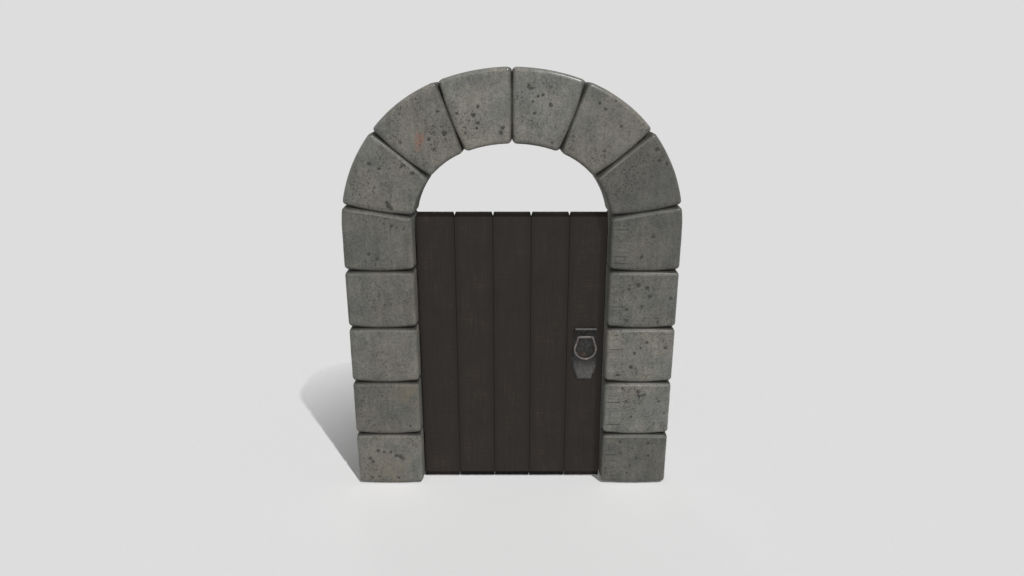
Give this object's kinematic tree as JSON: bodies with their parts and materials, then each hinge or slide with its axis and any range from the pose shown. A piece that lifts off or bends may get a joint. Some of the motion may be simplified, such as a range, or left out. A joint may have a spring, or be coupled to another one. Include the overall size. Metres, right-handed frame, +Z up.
{
  "type": "medieval door",
  "caption": "Arched stone doorway with a ledged plank door on strap hinges and pintles, opened by an iron ring pull; the round head over the leaf is open.",
  "frame": {"origin": "on the floor, midway between the jambs and at half the depth of the stones", "axes": "+X to the right of a person who faces the ring side, +Y through the doorway to the back, +Z up"},
  "size_m": [2.22, 0.3, 2.8963],
  "materials": {
    "stone": "dressed grey stone, worn edges, pitted, brown and green tints",
    "oak": "dark aged oak, fine cross saw marks",
    "iron": "forged dark iron, worn light on its edges, some rust",
    "ring_iron": "forged iron worn bright by hands"
  },
  "bodies": {
    "frame": {"jamb_stone_left_1": "stone", "jamb_stone_left_2": "stone", "jamb_stone_left_3": "stone", "jamb_stone_left_4": "stone", "jamb_stone_right_1": "stone", "jamb_stone_right_2": "stone", "jamb_stone_right_3": "stone", "jamb_stone_right_4": "stone", "impost_stone_left": "stone", "impost_stone_right": "stone", "springer_left": "stone", "springer_right": "stone", "haunch_stone_left": "stone", "haunch_stone_right": "stone", "crown_stone_left": "stone", "crown_stone_right": "stone", "pintle_lower": "iron", "pintle_upper": "iron"},
    "leaf": {"plank_1": "oak", "plank_2": "oak", "plank_3": "oak", "plank_4": "oak", "plank_5": "oak", "ledge_lower": "oak", "ledge_middle": "oak", "ledge_upper": "oak", "strap_hinge_lower": "iron", "strap_hinge_upper": "iron", "ledge_nails": "iron", "strap_nails": "iron", "handle_plate": "iron", "handle_head": "iron", "handle_roves": "iron"},
    "ring": {"ring_pull": "ring_iron"}
  },
  "joints": [
    {"name": "leaf_swing", "type": "hinge", "parent": "frame", "child": "leaf", "pos_m": [-0.62, 0.073, 0], "axis": [0, 0, 1], "range_deg": [0, 110]},
    {"name": "ring_swing", "type": "hinge", "parent": "leaf", "child": "ring", "pos_m": [0.5104, -0.069, 1.1123], "axis": [-1, 0, 0], "range_deg": [0, 100]}
  ]
}
